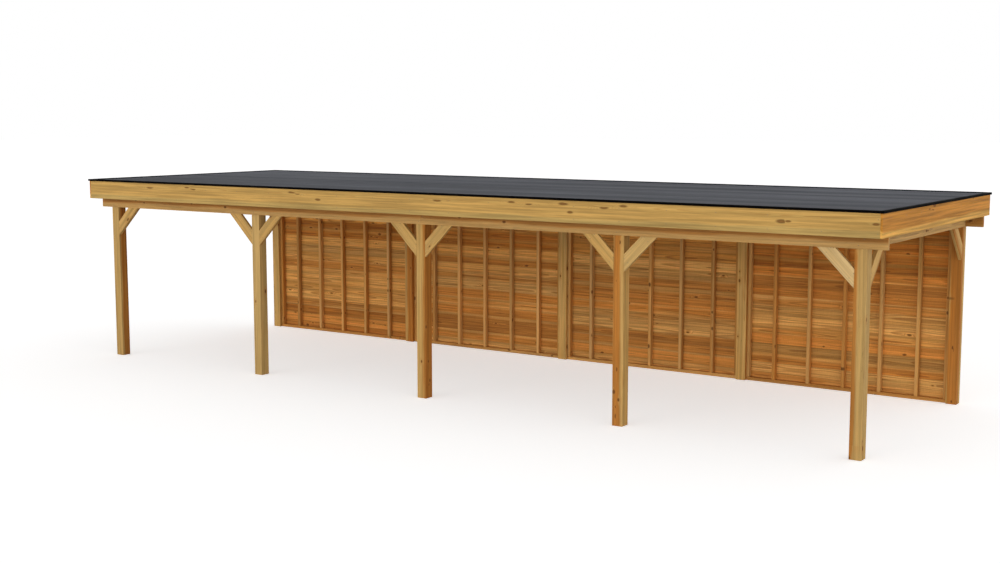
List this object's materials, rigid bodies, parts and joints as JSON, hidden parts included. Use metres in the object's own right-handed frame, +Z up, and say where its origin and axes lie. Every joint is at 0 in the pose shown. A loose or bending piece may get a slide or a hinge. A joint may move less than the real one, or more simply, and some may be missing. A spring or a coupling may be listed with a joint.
{
  "type": "freestanding patio cover",
  "caption": "Long flat-roofed timber patio cover on two rows of square posts with knee braces, open at the front and ends, with a boarded wall along the back.",
  "frame": {"origin": "on the ground, under the middle of the roof's outline", "axes": "+X along the length towards the right end, +Y from the open front to the back wall, +Z up"},
  "size_m": [12.012, 3.98, 2.643],
  "materials": {
    "post_timber": "planed softwood, honey toned",
    "beam_timber": "planed softwood, honey toned",
    "fascia_timber": "planed softwood with pale bands",
    "stud_timber": "planed softwood",
    "wall_boards": "rough sawn boards, red-brown",
    "roof_timber": "planed softwood",
    "roof_membrane": "matt slate-grey roofing membrane",
    "edge_trim": "matt black profile",
    "fixings": "zinc-plated screws and nails, dulled"
  },
  "bodies": {
    "root": {"front_post_1": "post_timber", "front_post_2": "post_timber", "front_post_3": "post_timber", "front_post_4": "post_timber", "front_post_5": "post_timber", "back_post_1": "post_timber", "back_post_2": "post_timber", "back_post_3": "post_timber", "back_post_4": "post_timber", "back_post_5": "post_timber", "front_beam_1": "beam_timber", "front_beam_2": "beam_timber", "back_beam_1": "beam_timber", "back_beam_2": "beam_timber", "left_side_beam": "beam_timber", "right_side_beam": "beam_timber", "front_braces_1": "post_timber", "front_braces_2": "post_timber", "front_braces_3": "post_timber", "front_braces_4": "post_timber", "front_braces_5": "post_timber", "left_front_brace": "post_timber", "left_back_brace": "post_timber", "right_front_brace": "post_timber", "right_back_brace": "post_timber", "wall_frame_1": "stud_timber", "wall_frame_2": "stud_timber", "wall_frame_3": "stud_timber", "wall_frame_4": "stud_timber", "wall_cladding_1": "wall_boards", "wall_cladding_2": "wall_boards", "wall_cladding_3": "wall_boards", "wall_cladding_4": "wall_boards", "roof_joists": "roof_timber", "roof_deck": "roof_timber", "roof_membrane": "roof_membrane", "front_fascia": "fascia_timber", "back_fascia": "fascia_timber", "left_fascia": "fascia_timber", "right_fascia": "fascia_timber", "front_trim": "edge_trim", "back_trim": "edge_trim", "left_trim": "edge_trim", "right_trim": "edge_trim"}
  },
  "joints": []
}
